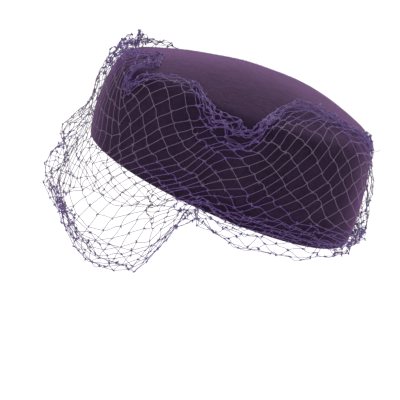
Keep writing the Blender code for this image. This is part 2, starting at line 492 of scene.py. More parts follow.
# %% [markdown]
# ### What felt looks like
#
# Close up, felt shows a fine grain of fibre clumps, with lighter and darker wool mixed in, and
# faint streaks where it was brushed. It has no gloss, but its nap catches light at a glancing
# angle, so the tip and the outline look paler than the wall. Noise in object space gives the
# grain, because the finish then needs no unwrapping, and the shader's sheen gives the glancing
# light, which no colour pattern could. Sparse pale specks in the colour are painted glints of fibre ends
# catching light.

# %% Felt finish
FELT_DEEP = (0.016, 0.007, 0.023, 1.0)
FELT_SOFT = (0.038, 0.020, 0.050, 1.0)
# Colour of the painted glints, pale specks standing in for fibre ends catching light.
FELT_GLINT = (0.090, 0.056, 0.115, 1.0)


def felt_finish():
    """Brushed wool felt in aubergine."""
    material, shader, wire = new_finish("aubergine felt", 0.95, sheen=0.56, sheen_roughness=0.40,
                                        sheen_tint=(0.67, 0.31, 0.77), gloss=0.10)
    place = wire.node("ShaderNodeTexCoord", output="Object")
    brushed = wire.node("ShaderNodeMapping", Vector=place, Scale=(1.0, 0.45, 1.0))
    clumps = wire.node("ShaderNodeTexNoise", Vector=brushed, Scale=900.0, Detail=3.0, Roughness=0.6)
    fibres = wire.node("ShaderNodeTexNoise", Vector=brushed, Scale=2600.0, Detail=2.0)
    blotches = wire.node("ShaderNodeTexNoise", Vector=place, Scale=55.0, Detail=2.0)
    drawn = wire.node("ShaderNodeMapping", Vector=place, Scale=(1.0, 0.55, 1.0))
    streaks = wire.node("ShaderNodeTexNoise", Vector=drawn, Scale=210.0, Detail=4.0, Roughness=0.65)
    tone = (clumps.between(0.32, 0.70) * 0.45 + streaks.between(0.34, 0.66) * 0.30
            + blotches.between(0.30, 0.72) * 0.25)
    # Painted glints: sparse pale specks stand in for fibre ends catching light.
    glints = fibres.between(0.62, 0.78) * 0.55
    colour = glints.mix(tone.mix(FELT_DEEP, FELT_SOFT), FELT_GLINT)
    feed(colour, shader, "Base Color")
    height = clumps + fibres * 0.35 + blotches * 0.5 + streaks * 1.2
    bump = wire.node("ShaderNodeBump", Strength=0.55, Distance=0.45 * MM, Height=height)
    feed(bump, shader, "Normal")
    return material


felt_material = felt_finish()
felt, felt_points, felt_faces = make_felt(felt_material)
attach(felt, "root")
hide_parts("felt_crown")
felt_tree = BVHTree.FromPolygons([tuple(p) for p in felt_points], felt_faces)
print("felt wall:", len(felt.data.polygons), "outer faces")

# %% [markdown]
# ### The nap
#
# Loose fibre ends stand off the felt all over and blur its outline. They are too fine for the
# grain of the finish to show, so one bent fibre is grown at random places on the outer face,
# each with its own turn, lean and length.

# %% Nap
NAP_DENSITY = 125000.0
NAP_LENGTH = 1.2 * MM
NAP_RADIUS = 0.035 * MM
NAP_LEAN = 0.75
NAP_BEND = 0.3
NAP_SIZES = (0.5, 1.3)


def nap_fibre():
    """One bent fibre that thins to a point, standing on its foot."""
    work = bmesh.new()
    rings = []
    for share, taper in ((0.0, 1.0), (0.55, 0.75)):
        radius, bend = NAP_RADIUS * taper, NAP_LENGTH * NAP_BEND * share ** 2
        rings.append([work.verts.new((radius * cos(turn) + bend, radius * sin(turn), NAP_LENGTH * share))
                      for turn in THREE_WAYS])
    tip = work.verts.new((NAP_LENGTH * NAP_BEND, 0.0, NAP_LENGTH))
    work.faces.new(rings[0][::-1])
    for k in range(3):
        after = (k + 1) % 3
        work.faces.new((rings[0][k], rings[0][after], rings[1][after], rings[1][k]))
        work.faces.new((rings[1][k], rings[1][after], tip))
    bmesh.ops.recalc_face_normals(work, faces=work.faces)
    return object_from(work, "nap_fibre")


def nap_tree():
    """Fibres at random places on the faces, standing out and leaning."""
    tree, wires = new_tree("raise nap", {"Fibre": "NodeSocketObject", "Density": "NodeSocketFloat",
                                         "Lean": "NodeSocketFloat", "Seed": "NodeSocketInt",
                                         "Material": "NodeSocketMaterial"})
    start, seed = wires["Geometry"], wires["Seed"]
    places = start.node("GeometryNodeDistributePointsOnFaces", Mesh=start, Density=wires["Density"],
                        Seed=seed)
    upright = Wire(tree, places.socket.node.outputs["Rotation"])
    lean = random_between(start, 0.0, wires["Lean"], seed)
    spin = random_between(start, 0.0, FULL_TURN, seed + 1.0)
    turn = start.node("ShaderNodeCombineXYZ", X=lean, Y=0.0, Z=spin)
    facing = start.node("FunctionNodeRotateRotation", {"rotation_space": "LOCAL"}, Rotation=upright,
                        Rotate_By=turn)
    size = random_between(start, *NAP_SIZES, seed + 2.0)
    placed = start.node("GeometryNodeInstanceOnPoints", Points=places, Rotation=facing, Scale=size,
                        Instance=shape_of(start, wires["Fibre"]))
    return close_tree(tree, placed, wires["Material"])


base = mesh_object("nap_base", felt_points, felt_faces)
fibre = nap_fibre()
felt_nap = grow("felt_nap", base, nap_tree(), {"Fibre": fibre, "Density": NAP_DENSITY, "Lean": NAP_LEAN,
                                               "Seed": FELT_SEED, "Material": felt_material})
bpy.data.objects.remove(fibre, do_unlink=True)
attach(felt_nap, "root")
print("nap faces:", len(felt_nap.data.polygons))

# %% [markdown]
# ## How the veil hangs
#
# Veil netting is one long strip of knotted diamonds. On this hat its top edge is turned over and
# laid on the tip in scallops, tacks draw it down to the wall, and the rest puffs out in front
# and hangs over the face. The surface that the strip follows is given by a short table, a row
# for each angle from the front. Each row says how far the net laps over the shoulder, with a
# column for each side, and then, the same on both sides, how far it stands off the felt on its
# way down and how far it hangs below. A table is easier to adjust than a sculpted sheet.

# %% The table of the veil's fall
NET_LAP = 40.0 * MM
NET_PUFF = 24.0 * MM
NET_DROP = 72.0 * MM
NET_SEAT = 1.25 * MM
NET_BRIDGE = 1.7 * MM
WALL_SHARE = 0.62
SHOULDER_SHARE = 0.28
BELLY_SHARE = 0.61
FALL_COLUMNS = ("angle", "left lap", "right lap", "shoulder", "wall", "rim", "belly", "hem", "drop")
FALL_TABLE = np.array((
    (0, 0.10, 0.20, 0.03, 0.10, 0.57, 0.97, 0.00, 0.82),
    (10, 0.12, 0.26, 0.03, 0.10, 0.57, 0.97, 0.00, 0.80),
    (16, 0.38, 0.30, 0.03, 0.10, 0.57, 0.98, 0.01, 0.77),
    (21, 0.56, 0.38, 0.04, 0.10, 0.57, 0.98, 0.02, 0.75),
    (28, 0.50, 0.34, 0.04, 0.12, 0.58, 0.97, 0.05, 0.80),
    (34, 0.34, 0.30, 0.04, 0.12, 0.53, 0.94, 0.10, 0.86),
    (38, 0.10, 0.24, 0.04, 0.12, 0.48, 0.92, 0.14, 0.89),
    (41, -0.20, 0.18, 0.04, 0.12, 0.46, 0.90, 0.16, 0.92),
    (44, -0.06, 0.10, 0.05, 0.13, 0.44, 0.88, 0.18, 0.95),
    (48, 0.12, -0.04, 0.06, 0.13, 0.42, 0.84, 0.20, 0.98),
    (52, 0.22, -0.16, 0.07, 0.13, 0.40, 0.79, 0.22, 1.01),
    (58, 0.34, -0.24, 0.08, 0.13, 0.37, 0.70, 0.24, 1.04),
    (64, 0.36, -0.28, 0.08, 0.12, 0.33, 0.60, 0.25, 1.02),
    (70, 0.26, -0.31, 0.08, 0.10, 0.27, 0.50, 0.26, 0.94),
    (76, 0.12, -0.32, 0.07, 0.08, 0.19, 0.36, 0.24, 0.80),
    (80, 0.04, -0.32, 0.06, 0.07, 0.12, 0.22, 0.18, 0.58),
    (84, -0.04, -0.32, 0.06, 0.06, 0.06, 0.12, 0.12, 0.34),
    (88, -0.12, -0.32, 0.07, 0.05, 0.04, 0.05, 0.06, 0.06),
    (92, -0.17, -0.32, 0.10, 0.05, 0.03, 0.08, 0.14, 0.08),
    (96, -0.06, -0.32, 0.16, 0.06, 0.03, 0.13, 0.22, 0.14),
    (100, 0.26, -0.32, 0.19, 0.07, 0.04, 0.16, 0.27, 0.17),
    (104, 0.52, -0.32, 0.20, 0.08, 0.04, 0.18, 0.28, 0.17),
    (110, 0.72, -0.32, 0.17, 0.08, 0.04, 0.20, 0.28, 0.14),
    (118, 0.84, -0.31, 0.14, 0.08, 0.05, 0.20, 0.28, 0.11),
    (130, 0.85, -0.29, 0.10, 0.09, 0.06, 0.20, 0.26, 0.07),
    (150, 0.62, -0.24, 0.03, 0.10, 0.08, 0.14, 0.16, 0.05),
    (168, 0.32, -0.04, 0.00, 0.11, 0.10, 0.12, 0.12, 0.03),
    (180, 0.10, 0.10, 0.00, 0.11, 0.12, 0.12, 0.10, 0.02),
))
print("rows in the table of the fall:", len(FALL_TABLE))

# %% The veil's surface
def ease(share):
    """Smooth step from 0 to 1."""
    share = np.clip(share, 0.0, 1.0)
    return share * share * (3.0 - 2.0 * share)


def smooth_between(keys, values, key):
    """Cubic curve through values, level at both ends, with no overshoot. Rows run side by side."""
    slopes = (values[..., 1:] - values[..., :-1]) / (keys[..., 1:] - keys[..., :-1])
    product = slopes[..., :-1] * slopes[..., 1:]
    total = slopes[..., :-1] + slopes[..., 1:]
    inner = np.where(product > 0.0, 2.0 * product / np.where(total == 0.0, 1.0, total), 0.0)
    level = np.zeros_like(inner[..., :1])
    tangents = np.concatenate([level, inner, level], -1)
    last = keys.shape[-1] - 2
    index = np.clip((keys <= key[..., None]).sum(-1) - 1, 0, last)[..., None]

    def pick(table, at):
        rows = np.broadcast_to(table, index.shape[:-1] + table.shape[-1:])
        return np.take_along_axis(rows, at, -1)[..., 0]

    low, high = pick(keys, index), pick(keys, index + 1)
    span = high - low
    share = np.clip((key - low) / span, 0.0, 1.0)
    turn = ease(share)
    start_pull = span * pick(tangents, index) * share * (1.0 - share) ** 2
    end_pull = span * pick(tangents, index + 1) * share * share * (share - 1.0)
    return pick(values, index) * (1.0 - turn) + pick(values, index + 1) * turn + start_pull + end_pull


def fall_values(angle):
    """The table's columns at some angles, by name, with the lap of the side that each is on."""
    turned = (np.degrees(angle) + 180.0) % 360.0 - 180.0
    keys = FALL_TABLE[:, 0]
    value = {name: smooth_between(keys, FALL_TABLE[:, number], np.abs(turned))
             for number, name in enumerate(FALL_COLUMNS)}
    value["lap"] = np.where(turned < 0.0, value["right lap"], value["left lap"])
    return value


def fall_lengths(angle):
    """Lap over the corner, length over the felt, and drop below the rim."""
    value = fall_values(angle)
    lap = value["lap"] * NET_LAP
    return lap, lap + corner_points(angle)[..., 2], value["drop"] * NET_DROP


def veil_points(angle, way, lift=0.0):
    """Places on the veil's surface, at a way down from its top edge, with an extra lift."""
    value = fall_values(angle)
    top_lap, felt_length, drop = fall_lengths(angle)
    rim_share = felt_length / (felt_length + drop)
    zero = np.zeros_like(rim_share)
    places = np.stack([zero, SHOULDER_SHARE * rim_share, WALL_SHARE * rim_share, rim_share,
                       rim_share + BELLY_SHARE * (1.0 - rim_share), zero + 1.0], -1)
    puffs = np.stack([zero] + [value[name] for name in ("shoulder", "wall", "rim", "belly", "hem")], -1)
    lap = top_lap - way
    off_corner = np.minimum(np.abs(lap) / (2.0 * SHOULDER_REACH), 1.0)
    seat = NET_SEAT + NET_BRIDGE * (1.0 - off_corner * off_corner)
    stand = (seat + NET_PUFF * smooth_between(places, puffs, way / (felt_length + drop)) + lift)[..., None]
    below = np.maximum(way - felt_length, 0.0)
    turn = ease((lap + 2.0 * SHOULDER_REACH) / (4.0 * SHOULDER_REACH)) * pi / 2
    up = np.array([0.0, 0.0, 1.0])
    facing = outward(angle) * np.cos(turn)[..., None] + up * np.sin(turn)[..., None]
    on_felt = crown_points(angle, np.maximum(lap, -corner_points(angle)[..., 2]))
    hanging = rim_points(angle) - up * below[..., None]
    past_rim = (way > felt_length)[..., None]
    return np.where(past_rim, hanging + outward(angle) * stand, on_felt + facing * stand)


front_drop = float(fall_lengths(np.array([0.0]))[2][0])
print("the net hangs", round(front_drop / MM, 1), "mm below the rim in front")

# %% [markdown]
# ### Where the strip is gathered
#
# The strip is as deep everywhere, but the way from the top edge to the hem isn't, so the rest
# of it is bunched: turned over along the top edge, crushed at the tacks, drawn into a dense band
# just above the rim at the sides and the back, and crumpled along the bottom of the veil. A
# second table gives each place its part of what is left over at that angle. Its places are the
# top edge, the low band, the crease under the puff and the hem. Its last columns say how wide
# the first two spread and how much net is turned under at the bottom. On the wearer's right,
# away from the front, almost all of the spare net goes into the low band.
#
# Tacks draw the knots beside them inward, given as place in degrees, strength and spread. Pleats
# do the same below or above the rim. Tufts, given as place, spread and height in mm, stand up
# from the top edge.

# %% Sizes of the strip and its gathers
NET_SIDE = 10.8 * MM
SELVAGE_SIDE = 13.5 * MM
NET_MESHES = 46
NET_ROWS = 40
ROW_DEPTH = 7.5 * MM
SNUGNESS = 1.02
TURNED_OVER = 28.0 * MM
GATHER_COLUMNS = ("angle", "top", "low", "crease", "hem", "top width", "low width", "turned under")
GATHER_TABLE = np.array((
    (0, 0.60, 0.00, 0.26, 0.14, 2.4, 1.0, 0.0),
    (20, 0.68, 0.00, 0.10, 0.22, 3.2, 1.0, 0.0),
    (34, 0.42, 0.02, 0.00, 0.56, 2.6, 3.5, 0.7),
    (44, 0.40, 0.14, 0.00, 0.46, 1.9, 3.5, 1.0),
    (54, 0.38, 0.32, 0.00, 0.30, 1.8, 2.8, 0.9),
    (62, 0.38, 0.40, 0.00, 0.22, 1.7, 2.0, 0.8),
    (70, 0.38, 0.46, 0.00, 0.16, 1.7, 1.7, 0.6),
    (78, 0.36, 0.48, 0.00, 0.16, 1.7, 1.7, 0.3),
    (89, 0.46, 0.42, 0.00, 0.12, 2.8, 1.9, 0.0),
    (104, 0.31, 0.53, 0.00, 0.16, 2.2, 1.6, 0.0),
    (118, 0.37, 0.47, 0.00, 0.16, 2.3, 1.6, 0.0),
    (135, 0.44, 0.40, 0.00, 0.16, 2.6, 1.6, 0.0),
    (150, 0.48, 0.38, 0.00, 0.14, 2.6, 1.6, 0.0),
    (180, 0.44, 0.42, 0.00, 0.14, 2.6, 1.6, 0.0),
))
RIGHT_FROM, RIGHT_TO = 9.0, 22.0
RIGHT_SHARES = {"hem": 0.9, "crease": 0.9, "top": 0.7}
TOP_WIDTH = 7.0 * MM
TOP_MIDDLE = 0.3 * TOP_WIDTH
TURNED_UNDER = 74.0 * MM
UNDER_INSET = 7.0 * MM
UNDER_REACH = 12.0 * MM
UNDER_RANGE = (0.5, 1.3)
TURNED_RISE = 0.38
LOW_WIDTH = 5.5 * MM
LOW_HEIGHT = 8.5 * MM
LOW_WAVE = 2.5 * MM
LOW_WAVES = 7.0
BAND_REACH = 11.0 * MM
CREASE_WIDTH = 9.0 * MM
CREASE_DROP = 20.0 * MM
CREASE_DENT = 9.5 * MM
CREASE_REACH = 42.0
HEM_WIDTH = 13.0 * MM
EVENNESS = 0.85
TACKS = ((24.0, 5.0, 13.0), (41.0, 4.0, 9.0), (89.0, 12.0, 22.0), (-9.0, 4.0, 12.0))
TUFTS = ((-7.0, 2.5, 6.5), (-26.0, 8.0, 1.5))
TUFT_DEPTH = 11.0 * MM
TUFT_RANGE = (0.6, 1.1)
LIFT_SCALE = 0.35 * MM
FOLD_LIFT = 1.0 * MM
FULLNESS_TABLE = np.array(((0, 1.25), (18, 1.1), (36, 1.15), (60, 1.2),
                           (76, 0.95), (90, 0.9), (108, 1.0), (180, 1.1)))
PLUMB_LEAN = 9.0
PLUMB_REACH = 50.0 * MM
PLEATS = ((22.0, 12.0, 8.0), (68.0, 7.0, 8.0), (-24.0, 12.0, 9.0), (-58.0, 12.0, 10.0))
WALL_PLEATS = ((135.0, 8.0, 7.0), (-120.0, 7.0, 8.0))
PLEAT_LIFT = 5.0 * MM
PLEAT_REACH = 25.0 * MM
CRUMPLE = 0.95 * MM
WALL_CRUMPLE = 0.3
BAND_CRUMPLE = 0.2
CRUMPLE_BELOW = 3.5
CRUMPLE_ABOVE = 3.0
CRUMPLE_REACH = 8.0 * MM
TACK_CRUMPLE = 1.6
TACK_SPREAD = 9.0
TACK_DEPTH = 22.0 * MM
BUNCH_REACH = 15.0 * MM
WAY_STEPS = 240
ANGLE_STEPS = 720
NET_SEED = 5
print("tacks:", len(TACKS), "pleats:", len(PLEATS) + len(WALL_PLEATS))

# %% How the spare net is shared out
def from_front(angle):
    """Degrees from the front, the same on both sides."""
    return np.abs((np.degrees(angle) + 180.0) % 360.0 - 180.0)


def gather_values(angle):
    """The gather table's columns at some angles, by name. The wearer's right is plainer."""
    value = {name: smooth_between(GATHER_TABLE[:, 0], GATHER_TABLE[:, number], from_front(angle))
             for number, name in enumerate(GATHER_COLUMNS)}
    past_front = ease((from_front(angle) - RIGHT_FROM) / (RIGHT_TO - RIGHT_FROM))
    plain = np.where(np.sin(angle) < 0.0, past_front, 0.0)
    moved = sum(share * value[name] for name, share in RIGHT_SHARES.items())
    value["low"] = value["low"] + moved * plain
    for name, share in RIGHT_SHARES.items():
        value[name] = value[name] * (1.0 - share * plain)
    value["turned under"] = value["turned under"] * (1.0 - plain)
    return value


def strip_to_way(angle, depth):
    """Way down the veil for a depth down the strip, how dense it is there, and how far turned under."""
    top_lap, felt_length, drop = fall_lengths(angle)
    length = felt_length + drop
    value = gather_values(angle)
    under = TURNED_UNDER * value["turned under"]
    strip = (NET_ROWS - 1) * ROW_DEPTH - TURNED_OVER - under
    grid = np.linspace(0.0, 1.0, WAY_STEPS + 1)[None, :] * length[:, None]
    spare = np.maximum(strip - SNUGNESS * length, 0.0)
    gathered = np.zeros_like(grid)
    band = felt_length - LOW_HEIGHT - LOW_WAVE * np.sin(angle * LOW_WAVES)
    zones = (("top", TOP_MIDDLE, TOP_WIDTH * value["top width"]),
             ("low", band, LOW_WIDTH * value["low width"]),
             ("crease", felt_length + CREASE_DROP, CREASE_WIDTH), ("hem", length, HEM_WIDTH))
    for name, middle, width in zones:
        middle, width = np.broadcast_to(middle, length.shape), np.broadcast_to(width, length.shape)
        bump = np.exp(-((grid - middle[:, None]) / width[:, None]) ** 2)
        weight = np.trapz(bump, grid, axis=1)
        gathered += bump * (value[name] * spare / weight)[:, None]
    density = gathered + SNUGNESS
    pieces = (density[:, 1:] + density[:, :-1]) / 2 * np.diff(grid, axis=1)
    run = np.concatenate([np.zeros((len(length), 1)), np.cumsum(pieces, axis=1)], 1)
    run *= (strip / run[:, -1])[:, None]
    beyond = np.maximum(depth - strip, 0.0)
    way = np.array([np.interp(d, r, g) for d, r, g in zip(depth, run, grid)]) - TURNED_RISE * beyond
    thick = np.array([np.interp(w, g, t) for w, g, t in zip(way, grid, gathered)])
    return way, thick, beyond


middle_way = float(strip_to_way(np.array([0.0]), np.array([100.0 * MM]))[0][0])
print("in front, 100 mm down the strip is", round(middle_way / MM), "mm down the veil")

# %% The knots of the strip
def row_angles(row):
    """Angles of one row's knots: evenly spaced along the row as it really runs, drawn to the tacks."""
    grid = np.linspace(-pi, pi, ANGLE_STEPS + 1)
    depth = abs(row * ROW_DEPTH - TURNED_OVER)
    course = veil_points(grid, strip_to_way(grid, np.full(len(grid), depth))[0])
    fullness = smooth_between(FULLNESS_TABLE[:, 0], FULLNESS_TABLE[:, 1], from_front(grid))
    steps = np.linalg.norm(np.diff(course, axis=0), axis=1) * fullness[1:]
    run = np.concatenate([[0.0], np.cumsum(steps)])
    run = (run - np.interp(0.0, grid, run)) / run[-1]
    share = (np.arange(NET_MESHES) + 0.5 * (row % 2)) / NET_MESHES
    share = (share - run[0]) % 1.0 + run[0]
    even = np.interp(share, run, grid)
    plain = (share * 2.0 * pi + pi) % (2.0 * pi) - pi
    turned = (even - plain + pi) % (2.0 * pi) - pi
    return np.degrees(plain + EVENNESS * turned)


def drawn_in(degrees, place, spread):
    """Pull beside a place: none on it, strongest a little to each side, and none far off."""
    away = (degrees - place) / spread
    return away * np.exp(-away ** 2)


def lay_out_knots():
    """Where each knot of the strip wants to be, and how densely it is gathered there."""
    chance = np.random.default_rng(NET_SEED)
    targets, facings, bunching = [], [], []
    for row in range(NET_ROWS):
        degrees = row_angles(row)
        depth = row * ROW_DEPTH - TURNED_OVER
        height_share = 1.0 - row / (NET_ROWS - 1)
        pull = np.zeros_like(degrees)
        for place, strength, spread in TACKS:
            pull += strength * height_share ** 2 * drawn_in(degrees, place, spread)
        way = strip_to_way(np.radians(degrees - pull), np.full(NET_MESHES, abs(depth)))[0]
        below = way - fall_lengths(np.radians(degrees))[1]
        pull -= PLUMB_LEAN * np.sin(np.radians(degrees)) * np.clip(below / PLUMB_REACH, 0.0, 1.0)
        hanging = ease(below / PLEAT_REACH)
        swing = np.zeros_like(degrees)
        for place, strength, spread in PLEATS:
            bend = drawn_in(degrees, place, spread) * hanging
            pull += strength * bend
            swing += PLEAT_LIFT * bend
        for place, strength, spread in WALL_PLEATS:
            pull += strength * drawn_in(degrees, place, spread) * (1.0 - hanging)
        angle = np.radians(degrees - pull)
        way, thick, beyond = strip_to_way(angle, np.full(NET_MESHES, abs(depth)))
        lift = thick * chance.uniform(0.0, 1.0, NET_MESHES) * LIFT_SCALE + swing
        if depth < 0.0:
            lift += FOLD_LIFT
        for place, spread, height in TUFTS:
            rise = np.exp(-((np.degrees(angle) - place) / spread) ** 2 - (way / TUFT_DEPTH) ** 2)
            lift += height * MM * rise * chance.uniform(*TUFT_RANGE, NET_MESHES)
        lift -= UNDER_INSET * ease(beyond / UNDER_REACH) * chance.uniform(*UNDER_RANGE, NET_MESHES)
        dip = (way - fall_lengths(angle)[1] - CREASE_DROP) / CREASE_WIDTH
        lift -= CREASE_DENT * np.exp(-dip ** 2 - (np.degrees(angle) / CREASE_REACH) ** 2)
        near_band = np.exp(-((below + LOW_HEIGHT) / BAND_REACH) ** 2)
        loose = np.where(below > 0.0, np.minimum(thick + beyond / CRUMPLE_REACH, CRUMPLE_BELOW),
                         (WALL_CRUMPLE + BAND_CRUMPLE * near_band) * np.minimum(thick, CRUMPLE_ABOVE))
        for place, _, _ in TACKS:
            away = (degrees - place) / TACK_SPREAD
            loose *= 1.0 + TACK_CRUMPLE * np.exp(-away ** 2 - (way / TACK_DEPTH) ** 2)
        crumple = chance.normal(0.0, CRUMPLE, (NET_MESHES, 3)) * loose[:, None]
        place = veil_points(angle, way, lift)
        targets.append(place + crumple)
        facings.append((veil_points(angle, way, lift + 1.0 * MM) - place) / MM)
        bunching.append(thick + beyond / BUNCH_REACH)
    return np.concatenate(targets), np.concatenate(facings), np.concatenate(bunching)


knot_targets, knot_facings, knot_bunching = lay_out_knots()
print("knots:", len(knot_targets))

# %% The threads of the strip
def strip_threads():
    """Pairs of knots that a thread joins: each knot to the two below it."""
    pairs = []
    for row in range(NET_ROWS - 1):
        for column in range(NET_MESHES):
            left = column if row % 2 else (column - 1) % NET_MESHES
            right = (column + 1) % NET_MESHES if row % 2 else column
            for below in (left, right):
                pairs.append((row * NET_MESHES + column, (row + 1) * NET_MESHES + below))
    return np.array(pairs)


def selvage_threads():
    """Pairs of neighbours along the strip's lower edge."""
    last = (NET_ROWS - 1) * NET_MESHES
    return np.array([(last + column, last + (column + 1) % NET_MESHES) for column in range(NET_MESHES)])


threads = np.concatenate([strip_threads(), selvage_threads()])
thread_lengths = np.where(np.arange(len(threads)) < len(threads) - NET_MESHES, NET_SIDE, SELVAGE_SIDE)
spans = np.linalg.norm(knot_targets[threads[:, 0]] - knot_targets[threads[:, 1]], axis=1)
print("threads:", len(threads), "spans mm:",
      [round(float(v) / MM, 1) for v in np.percentile(spans, (1, 10, 50, 90, 99))])

# %% [markdown]
# ### Letting the net settle
#
# The layout alone would stretch some threads and squeeze others, which real thread can't do. So
# the knots are let go: in many small steps each thread that is too long pulls its two knots
# together, knots that crowd push apart, each knot is drawn weakly to its place, and the middle
# of each is kept off the felt, though the outer parts of some knots still reach into it. It is
# the same idea as a cloth simulation, but with so few points it takes a second in plain Python
# arrays, and it always gives the same net. About six threads in seven end within 5% of their
# length or shorter, and the rest are stretched, by a third at most.

# %% Settle the knots
SETTLE_STEPS = 260
PULL_TO_SURFACE = 0.10
PULL_ALONG = 0.028
CROWD_DISTANCE = 3.2 * MM
CLEARANCE = 0.75 * MM
DRIFT = 3.0 * MM
DRIFT_WAVES = 14
DRIFT_LENGTHS = (28.0 * MM, 80.0 * MM)
DRIFT_SHARES = np.array([1.0, 1.0, 0.7])
SCATTER = 0.4 * MM
OVERSHOOT = 1.9
PUSH_EVERY = 10


def push_off_felt(points, clearance):
    """Move points that are closer to the felt than the clearance, or inside it, off its face."""
    for number, point in enumerate(points):
        place, normal, _, _ = felt_tree.find_nearest(Vector(point))
        gap = (Vector(point) - place).dot(normal)
        if point[2] > -clearance and gap < clearance:
            points[number] = np.array(place + normal * clearance)
    return points


def settle(targets, facings, pairs, lengths, seed):
    """Relax the knots so that the threads nearly hold their length."""
    chance = np.random.default_rng(seed)
    drift = np.stack([smooth_waves(targets, DRIFT, *DRIFT_LENGTHS, seed + axis, DRIFT_WAVES)
                      for axis in range(3)], 1)
    goals = targets + drift * DRIFT_SHARES
    points = goals + chance.normal(0.0, SCATTER, goals.shape)
    first, second = pairs[:, 0], pairs[:, 1]
    ties = np.bincount(pairs.ravel(), minlength=len(points)).astype(float)[:, None]
    for step in range(SETTLE_STEPS):
        away = goals - points
        off = facings * (away * facings).sum(1, keepdims=True)
        points += off * PULL_TO_SURFACE + (away - off) * PULL_ALONG
        line = points[second] - points[first]
        length = np.linalg.norm(line, axis=1, keepdims=True)
        wrong = np.maximum(length - lengths[:, None], 0.0) + np.minimum(length - CROWD_DISTANCE, 0.0)
        move = line / np.maximum(length, 1e-9) * wrong * 0.5
        shift = np.zeros_like(points)
        np.add.at(shift, first, move)
        np.add.at(shift, second, -move)
        points += shift / ties * OVERSHOOT
        if step % PUSH_EVERY == PUSH_EVERY - 1 or step == SETTLE_STEPS - 1:
            points = push_off_felt(points, CLEARANCE + SCATTER)
    return points


knots = settle(knot_targets, knot_facings, threads, thread_lengths, NET_SEED)
spans = np.linalg.norm(knots[threads[:, 0]] - knots[threads[:, 1]], axis=1)
print("settled spans mm:", [round(float(v) / MM, 1) for v in np.percentile(spans, (1, 10, 50, 90, 99))])

# %% [markdown]
# ### Threads and knots
#
# Between two knots a thread runs straight where the net is taut, and bows where it is slack, by
# as much as its spare length asks. Each thread becomes a short chain of points. Geometry Nodes
# then turns all the chains into round cords in one step, and sets a small wrapped bead, with a
# little fuzz on it, on every knot. A node tree suits both, because one shape is repeated
# thousands of times with a random turn and size.

# %% Chains of points for the threads
THREAD_STEPS = 4
THREAD_RADIUS = 0.195 * MM
SLACK = 1.06
SWAY = 0.22 * MM
BOW_SHAPE = 0.375
BOW_RANGE = (0.35, 0.65)
CUT_LENGTH = (3.5 * MM, 6.5 * MM)
CUT_CURL = 1.5
CUT_OUTWARD = 0.6
CUT_TANGLE = 0.7
CUT_FROM = np.array([0.0, 0.0, 20.0 * MM])
CHAIN_CLEARANCE = CLEARANCE - 0.3 * MM


def thread_chains(points, pairs, lengths, bunched, seed):
    """Points along each thread, bowed by its spare length, and most where the net is bunched."""
    chance = np.random.default_rng(seed)
    start, end = points[pairs[:, 0]], points[pairs[:, 1]]
    line = end - start
    length = np.linalg.norm(line, axis=1)
    spare = np.maximum(lengths * SLACK - length, 0.0)
    looseness = 0.6 + 0.35 * bunched
    bow = np.sqrt(BOW_SHAPE * length * spare) * chance.uniform(*BOW_RANGE, len(pairs)) * looseness
    along = line / np.maximum(length, 1e-9)[:, None]
    out = start + end - 2.0 * CROWN_MIDDLE
    out /= np.linalg.norm(out, axis=1, keepdims=True)
    side = chance.normal(size=out.shape) + out * 0.5
    side -= along * (side * along).sum(1, keepdims=True)
    side /= np.linalg.norm(side, axis=1, keepdims=True)
    other = np.cross(along, side)
    share = np.linspace(0.0, 1.0, THREAD_STEPS + 1)[None, :, None]
    wave = SWAY * chance.normal(size=(len(pairs), 1, 1))
    chain = start[:, None] + line[:, None] * share
    chain += side[:, None] * bow[:, None, None] * np.sin(pi * share)
    chain += other[:, None] * wave * np.sin(2.0 * pi * share)
    return chain


def cut_ends(points, seed):
    """Short loose curls at the cut edge of the strip, from every second knot of its first row."""
    chance = np.random.default_rng(seed)
    picked = points[:NET_MESHES:2]
    away = picked - CUT_FROM
    away /= np.linalg.norm(away, axis=1, keepdims=True)
    away = away * CUT_OUTWARD + chance.normal(size=away.shape) * CUT_TANGLE
    away /= np.linalg.norm(away, axis=1, keepdims=True)
    side = np.cross(away, chance.normal(size=away.shape))
    side /= np.linalg.norm(side, axis=1, keepdims=True)
    length = chance.uniform(*CUT_LENGTH, len(picked))[:, None, None]
    turn = np.linspace(0.0, 1.0, THREAD_STEPS + 1)[None, :, None] * CUT_CURL
    curl = away[:, None] * np.sin(turn) + side[:, None] * (1.0 - np.cos(turn))
    return picked[:, None] + length / CUT_CURL * curl


bunched = np.clip(knot_bunching / 2.0, 0.0, 1.0)
thread_bunched = (bunched[threads[:, 0]] + bunched[threads[:, 1]]) / 2
chains = thread_chains(knots, threads, thread_lengths, thread_bunched, NET_SEED + 1)
ends = cut_ends(knots, NET_SEED + 2)
chains = np.concatenate([chains, ends])
thread_bunched = np.concatenate([thread_bunched, np.ones(len(ends))])
flat_chains = push_off_felt(chains.reshape(-1, 3).copy(), CHAIN_CLEARANCE)
print("thread points:", len(flat_chains))

# %% [markdown]
# ### The two trees
#
# The thread's radius and the knot's random size are inputs, so that both can be changed without
# opening the trees. Where the net is bunched a knot grows, because two layers hide in it.

# %% Node trees for threads and knots
def thread_tree():
    """Chains of edges become round cords."""
    tree, wires = new_tree("spin threads", {"Radius": "NodeSocketFloat", "Sides": "NodeSocketInt",
                                            "Material": "NodeSocketMaterial"})
    start = wires["Geometry"]
    curve = start.node("GeometryNodeMeshToCurve", Mesh=start)
    ring = start.node("GeometryNodeCurvePrimitiveCircle", Radius=wires["Radius"], Resolution=wires["Sides"])
    cords = curve.node("GeometryNodeCurveToMesh", Curve=curve, Profile_Curve=ring, Fill_Caps=True)
    return close_tree(tree, cords, wires["Material"])


